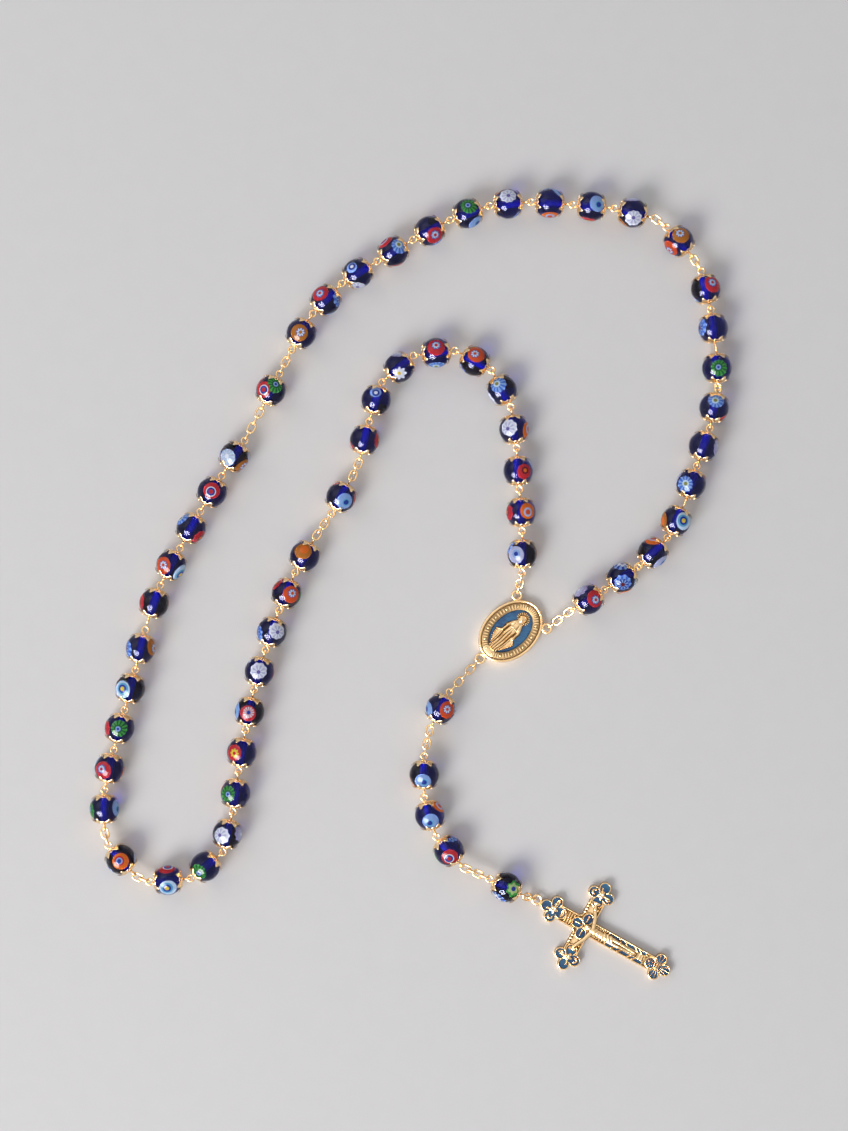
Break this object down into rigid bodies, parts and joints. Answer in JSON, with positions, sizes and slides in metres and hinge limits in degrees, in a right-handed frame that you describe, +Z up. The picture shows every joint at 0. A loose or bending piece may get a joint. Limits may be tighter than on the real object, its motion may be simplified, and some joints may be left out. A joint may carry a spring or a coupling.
{
  "type": "rosary",
  "caption": "Five-decade rosary of cobalt millefiori glass beads on gilt wire and chain, with an enamelled oval centre medal and an enamelled budded crucifix, laid flat.",
  "frame": {"origin": "middle of the centre medal's flat back, on the surface that the rosary lies on", "axes": "+Z up from that surface, +Y towards the far side of the loop, +X to the right as seen from above"},
  "size_m": [0.1731, 0.2137, 0.008],
  "materials": {
    "millefiori_glass": "polished cobalt glass with opaque flower slices set flush in it",
    "gilt_brass": "gold-plated brass, bright on edges and a little darker in the hollows",
    "blue_enamel": "glossy blue enamel fired into shallow pockets"
  },
  "bodies": {
    "centre_medal": {"centre_medal": "gilt_brass", "centre_medal_enamel": "blue_enamel", "centre_medal_figure": "gilt_brass"},
    "chain_medal_to_decade_1": {"chain_medal_to_decade_1": "gilt_brass"},
    "decade_1_aves_1_to_5": {"decade_1_aves_1_to_5_glass": "millefiori_glass", "decade_1_aves_1_to_5_caps_and_pins": "gilt_brass"},
    "decade_1_aves_6_to_10": {"decade_1_aves_6_to_10_glass": "millefiori_glass", "decade_1_aves_6_to_10_caps_and_pins": "gilt_brass"},
    "chain_decade_1_to_pater": {"chain_decade_1_to_pater": "gilt_brass"},
    "pater_after_decade_1": {"pater_after_decade_1_caps_and_pins": "gilt_brass"},
    "pater_after_decade_1_bead": {"pater_after_decade_1_glass": "millefiori_glass"},
    "chain_pater_to_decade_2": {"chain_pater_to_decade_2": "gilt_brass"},
    "decade_2_aves_1_to_5": {"decade_2_aves_1_to_5_glass": "millefiori_glass", "decade_2_aves_1_to_5_caps_and_pins": "gilt_brass"},
    "decade_2_aves_6_to_10": {"decade_2_aves_6_to_10_glass": "millefiori_glass", "decade_2_aves_6_to_10_caps_and_pins": "gilt_brass"},
    "chain_decade_2_to_pater": {"chain_decade_2_to_pater": "gilt_brass"},
    "pater_after_decade_2": {"pater_after_decade_2_caps_and_pins": "gilt_brass"},
    "pater_after_decade_2_bead": {"pater_after_decade_2_glass": "millefiori_glass"},
    "chain_pater_to_decade_3": {"chain_pater_to_decade_3": "gilt_brass"},
    "decade_3_aves_1_to_5": {"decade_3_aves_1_to_5_glass": "millefiori_glass", "decade_3_aves_1_to_5_caps_and_pins": "gilt_brass"},
    "chain_decade_5_to_medal": {"chain_decade_5_to_medal": "gilt_brass"},
    "decade_5_aves_6_to_10": {"decade_5_aves_6_to_10_glass": "millefiori_glass", "decade_5_aves_6_to_10_caps_and_pins": "gilt_brass"},
    "decade_5_aves_1_to_5": {"decade_5_aves_1_to_5_glass": "millefiori_glass", "decade_5_aves_1_to_5_caps_and_pins": "gilt_brass"},
    "chain_pater_to_decade_5": {"chain_pater_to_decade_5": "gilt_brass"},
    "pater_after_decade_4": {"pater_after_decade_4_caps_and_pins": "gilt_brass"},
    "pater_after_decade_4_bead": {"pater_after_decade_4_glass": "millefiori_glass"},
    "chain_decade_4_to_pater": {"chain_decade_4_to_pater": "gilt_brass"},
    "decade_4_aves_6_to_10": {"decade_4_aves_6_to_10_glass": "millefiori_glass", "decade_4_aves_6_to_10_caps_and_pins": "gilt_brass"},
    "decade_4_aves_1_to_5": {"decade_4_aves_1_to_5_glass": "millefiori_glass", "decade_4_aves_1_to_5_caps_and_pins": "gilt_brass"},
    "chain_pater_to_decade_4": {"chain_pater_to_decade_4": "gilt_brass"},
    "pater_after_decade_3": {"pater_after_decade_3_caps_and_pins": "gilt_brass"},
    "pater_after_decade_3_bead": {"pater_after_decade_3_glass": "millefiori_glass"},
    "chain_decade_3_to_pater": {"chain_decade_3_to_pater": "gilt_brass"},
    "decade_3_aves_6_to_10": {"decade_3_aves_6_to_10_glass": "millefiori_glass", "decade_3_aves_6_to_10_caps_and_pins": "gilt_brass"},
    "chain_medal_to_pendant": {"chain_medal_to_pendant": "gilt_brass"},
    "pendant_upper_pater": {"pendant_upper_pater_caps_and_pins": "gilt_brass"},
    "pendant_upper_pater_bead": {"pendant_upper_pater_glass": "millefiori_glass"},
    "chain_upper_pater_to_aves": {"chain_upper_pater_to_aves": "gilt_brass"},
    "pendant_ave_1": {"pendant_ave_1_caps_and_pins": "gilt_brass"},
    "pendant_ave_1_bead": {"pendant_ave_1_glass": "millefiori_glass"},
    "pendant_ave_2": {"pendant_ave_2_caps_and_pins": "gilt_brass"},
    "pendant_ave_2_bead": {"pendant_ave_2_glass": "millefiori_glass"},
    "pendant_ave_3": {"pendant_ave_3_caps_and_pins": "gilt_brass"},
    "pendant_ave_3_bead": {"pendant_ave_3_glass": "millefiori_glass"},
    "chain_aves_to_lower_pater": {"chain_aves_to_lower_pater": "gilt_brass"},
    "pendant_lower_pater": {"pendant_lower_pater_caps_and_pins": "gilt_brass"},
    "pendant_lower_pater_bead": {"pendant_lower_pater_glass": "millefiori_glass"},
    "chain_lower_pater_to_crucifix": {"chain_lower_pater_to_crucifix": "gilt_brass"},
    "crucifix": {"crucifix_cross": "gilt_brass", "crucifix_enamel": "blue_enamel", "crucifix_corpus": "gilt_brass"}
  },
  "joints": [
    {"name": "lift_chain_medal_to_decade_1", "type": "hinge", "parent": "centre_medal", "child": "chain_medal_to_decade_1", "pos_m": [0.00196, 0.01087, 0.00129], "axis": [0.9777, -0.2101, 0], "range_deg": [-60, 60]},
    {"name": "lift_decade_1_aves_1_to_5", "type": "hinge", "parent": "chain_medal_to_decade_1", "child": "decade_1_aves_1_to_5", "pos_m": [0.00284, 0.01495, 0.004], "axis": [-0.9777, 0.2101, 0], "range_deg": [-60, 60]},
    {"name": "lift_decade_1_aves_6_to_10", "type": "hinge", "parent": "decade_1_aves_1_to_5", "child": "decade_1_aves_6_to_10", "pos_m": [-0.00486, 0.06968, 0.004], "axis": [0.8842, 0.4672, 0], "range_deg": [-60, 60]},
    {"name": "lift_chain_decade_1_to_pater", "type": "hinge", "parent": "decade_1_aves_6_to_10", "child": "chain_decade_1_to_pater", "pos_m": [-0.0407, 0.04661, 0.004], "axis": [0.9706, -0.2408, 0], "range_deg": [-60, 60]},
    {"name": "lift_pater_after_decade_1", "type": "hinge", "parent": "chain_decade_1_to_pater", "child": "pater_after_decade_1", "pos_m": [-0.04326, 0.04068, 0.004], "axis": [-0.8662, 0.4996, 0], "range_deg": [-60, 60]},
    {"name": "spin_pater_after_decade_1_bead", "type": "hinge", "parent": "pater_after_decade_1", "child": "pater_after_decade_1_bead", "pos_m": [-0.04584, 0.03621, 0.004], "axis": [-0.4996, -0.8662, 0], "continuous": true},
    {"name": "lift_chain_pater_to_decade_2", "type": "hinge", "parent": "pater_after_decade_1", "child": "chain_pater_to_decade_2", "pos_m": [-0.04886, 0.03108, 0.004], "axis": [0.8292, -0.5589, 0], "range_deg": [-60, 60]},
    {"name": "lift_decade_2_aves_1_to_5", "type": "hinge", "parent": "chain_pater_to_decade_2", "child": "decade_2_aves_1_to_5", "pos_m": [-0.05301, 0.02482, 0.004], "axis": [-0.8662, 0.4996, 0], "range_deg": [-60, 60]},
    {"name": "lift_decade_2_aves_6_to_10", "type": "hinge", "parent": "decade_2_aves_1_to_5", "child": "decade_2_aves_6_to_10", "pos_m": [-0.07167, -0.02748, 0.004], "axis": [0.985, -0.1723, 0], "range_deg": [-60, 60]},
    {"name": "lift_chain_decade_2_to_pater", "type": "hinge", "parent": "decade_2_aves_6_to_10", "child": "chain_decade_2_to_pater", "pos_m": [-0.09829, -0.06721, 0.004], "axis": [0.3819, 0.9242, 0], "range_deg": [-60, 60]},
    {"name": "lift_pater_after_decade_2", "type": "hinge", "parent": "chain_decade_2_to_pater", "child": "pater_after_decade_2", "pos_m": [-0.10169, -0.06537, 0.004], "axis": [-0.745, -0.6671, 0], "range_deg": [-60, 60]},
    {"name": "spin_pater_after_decade_2_bead", "type": "hinge", "parent": "pater_after_decade_2", "child": "pater_after_decade_2_bead", "pos_m": [-0.10516, -0.06149, 0.004], "axis": [-0.6671, 0.745, 0], "continuous": true},
    {"name": "lift_chain_pater_to_decade_3", "type": "hinge", "parent": "pater_after_decade_2", "child": "chain_pater_to_decade_3", "pos_m": [-0.10879, -0.05687, 0.004], "axis": [0.9631, 0.2692, 0], "range_deg": [-60, 60]},
    {"name": "lift_decade_3_aves_1_to_5", "type": "hinge", "parent": "chain_pater_to_decade_3", "child": "decade_3_aves_1_to_5", "pos_m": [-0.10961, -0.05302, 0.004], "axis": [-1, 0.0018, 0], "range_deg": [-60, 60]},
    {"name": "lift_chain_decade_5_to_medal", "type": "hinge", "parent": "centre_medal", "child": "chain_decade_5_to_medal", "pos_m": [0.01077, 0.00142, 0.00129], "axis": [-0.6149, 0.7886, 0], "range_deg": [-60, 60]},
    {"name": "lift_decade_5_aves_6_to_10", "type": "hinge", "parent": "chain_decade_5_to_medal", "child": "decade_5_aves_6_to_10", "pos_m": [0.01678, 0.00599, 0.004], "axis": [0.5291, -0.8486, 0], "range_deg": [-60, 60]},
    {"name": "lift_decade_5_aves_1_to_5", "type": "hinge", "parent": "decade_5_aves_6_to_10", "child": "decade_5_aves_1_to_5", "pos_m": [0.05036, 0.04538, 0.004], "axis": [-0.9458, 0.3246, 0], "range_deg": [-60, 60]},
    {"name": "lift_chain_pater_to_decade_5", "type": "hinge", "parent": "decade_5_aves_1_to_5", "child": "chain_pater_to_decade_5", "pos_m": [0.05082, 0.09794, 0.004], "axis": [0.8622, 0.5066, 0], "range_deg": [-60, 60]},
    {"name": "lift_pater_after_decade_4", "type": "hinge", "parent": "chain_pater_to_decade_5", "child": "pater_after_decade_4", "pos_m": [0.04869, 0.10124, 0.004], "axis": [-0.7529, -0.6582, 0], "range_deg": [-60, 60]},
    {"name": "spin_pater_after_decade_4_bead", "type": "hinge", "parent": "pater_after_decade_4", "child": "pater_after_decade_4_bead", "pos_m": [0.04527, 0.10515, 0.004], "axis": [-0.6582, 0.7529, 0], "continuous": true},
    {"name": "lift_chain_decade_4_to_pater", "type": "hinge", "parent": "pater_after_decade_4", "child": "chain_decade_4_to_pater", "pos_m": [0.04124, 0.10951, 0.004], "axis": [0.6092, 0.793, 0], "range_deg": [-60, 60]},
    {"name": "lift_decade_4_aves_6_to_10", "type": "hinge", "parent": "chain_decade_4_to_pater", "child": "decade_4_aves_6_to_10", "pos_m": [0.03794, 0.11157, 0.004], "axis": [-0.2395, -0.9709, 0], "range_deg": [-60, 60]},
    {"name": "lift_decade_4_aves_1_to_5", "type": "hinge", "parent": "decade_4_aves_6_to_10", "child": "decade_4_aves_1_to_5", "pos_m": [-0.01721, 0.1105, 0.004], "axis": [-0.4705, 0.8824, 0], "range_deg": [-60, 60]},
    {"name": "lift_chain_pater_to_decade_4", "type": "hinge", "parent": "decade_4_aves_1_to_5", "child": "chain_pater_to_decade_4", "pos_m": [-0.0595, 0.07515, 0.004], "axis": [0.8906, -0.4548, 0], "range_deg": [-60, 60]},
    {"name": "lift_pater_after_decade_3", "type": "hinge", "parent": "chain_pater_to_decade_4", "child": "pater_after_decade_3", "pos_m": [-0.06202, 0.07022, 0.004], "axis": [-0.8906, 0.4548, 0], "range_deg": [-60, 60]},
    {"name": "spin_pater_after_decade_3_bead", "type": "hinge", "parent": "pater_after_decade_3", "child": "pater_after_decade_3_bead", "pos_m": [-0.06472, 0.06492, 0.004], "axis": [-0.4545, -0.8907, 0], "continuous": true},
    {"name": "lift_chain_decade_3_to_pater", "type": "hinge", "parent": "pater_after_decade_3", "child": "chain_decade_3_to_pater", "pos_m": [-0.0671, 0.06026, 0.004], "axis": [0.8907, -0.4545, 0], "range_deg": [-60, 60]},
    {"name": "lift_decade_3_aves_6_to_10", "type": "hinge", "parent": "chain_decade_3_to_pater", "child": "decade_3_aves_6_to_10", "pos_m": [-0.0714, 0.05215, 0.004], "axis": [-0.8826, 0.47, 0], "range_deg": [-60, 60]},
    {"name": "lift_chain_medal_to_pendant", "type": "hinge", "parent": "centre_medal", "child": "chain_medal_to_pendant", "pos_m": [-0.00907, -0.0083, 0.00129], "axis": [-0.7314, 0.682, 0], "range_deg": [-60, 60]},
    {"name": "lift_pendant_upper_pater", "type": "hinge", "parent": "chain_medal_to_pendant", "child": "pendant_upper_pater", "pos_m": [-0.01599, -0.01572, 0.004], "axis": [0.7314, -0.682, 0], "range_deg": [-60, 60]},
    {"name": "spin_pendant_upper_pater_bead", "type": "hinge", "parent": "pendant_upper_pater", "child": "pendant_upper_pater_bead", "pos_m": [-0.01896, -0.02085, 0.004], "axis": [-0.4695, -0.8829, 0], "continuous": true},
    {"name": "lift_chain_upper_pater_to_aves", "type": "hinge", "parent": "pendant_upper_pater", "child": "chain_upper_pater_to_aves", "pos_m": [-0.0214, -0.02544, 0.004], "axis": [-0.8829, 0.4695, 0], "range_deg": [-60, 60]},
    {"name": "lift_pendant_ave_1", "type": "hinge", "parent": "chain_upper_pater_to_aves", "child": "pendant_ave_1", "pos_m": [-0.02321, -0.03274, 0.004], "axis": [0.9781, -0.2079, 0], "range_deg": [-60, 60]},
    {"name": "spin_pendant_ave_1_bead", "type": "hinge", "parent": "pendant_ave_1", "child": "pendant_ave_1_bead", "pos_m": [-0.02339, -0.03867, 0.004], "axis": [0, -1, 0], "continuous": true},
    {"name": "lift_pendant_ave_2", "type": "hinge", "parent": "pendant_ave_1", "child": "pendant_ave_2", "pos_m": [-0.02339, -0.04387, 0.004], "axis": [-1, 0, 0], "range_deg": [-60, 60]},
    {"name": "spin_pendant_ave_2_bead", "type": "hinge", "parent": "pendant_ave_2", "child": "pendant_ave_2_bead", "pos_m": [-0.0219, -0.0496, 0.004], "axis": [0.2924, -0.9563, 0], "continuous": true},
    {"name": "lift_pendant_ave_3", "type": "hinge", "parent": "pendant_ave_2", "child": "pendant_ave_3", "pos_m": [-0.02038, -0.05457, 0.004], "axis": [0.9563, 0.2924, 0], "range_deg": [-60, 60]},
    {"name": "spin_pendant_ave_3_bead", "type": "hinge", "parent": "pendant_ave_3", "child": "pendant_ave_3_bead", "pos_m": [-0.01672, -0.05917, 0.004], "axis": [0.6691, -0.7431, 0], "continuous": true},
    {"name": "lift_chain_aves_to_lower_pater", "type": "hinge", "parent": "pendant_ave_3", "child": "chain_aves_to_lower_pater", "pos_m": [-0.01324, -0.06304, 0.004], "axis": [-0.7431, -0.6691, 0], "range_deg": [-60, 60]},
    {"name": "lift_pendant_lower_pater", "type": "hinge", "parent": "chain_aves_to_lower_pater", "child": "pendant_lower_pater", "pos_m": [-0.00657, -0.06642, 0.004], "axis": [0.4067, 0.9135, 0], "range_deg": [-60, 60]},
    {"name": "spin_pendant_lower_pater_bead", "type": "hinge", "parent": "pendant_lower_pater", "child": "pendant_lower_pater_bead", "pos_m": [-0.00121, -0.069, 0.004], "axis": [0.8988, -0.4384, 0], "continuous": true},
    {"name": "lift_chain_lower_pater_to_crucifix", "type": "hinge", "parent": "pendant_lower_pater", "child": "chain_lower_pater_to_crucifix", "pos_m": [0.00347, -0.07128, 0.004], "axis": [-0.4384, -0.8988, 0], "range_deg": [-45, 60]},
    {"name": "lift_crucifix", "type": "hinge", "parent": "chain_lower_pater_to_crucifix", "child": "crucifix", "pos_m": [0.006, -0.07231, 0.00129], "axis": [0.342, 0.9397, 0], "range_deg": [-60, 60]}
  ]
}
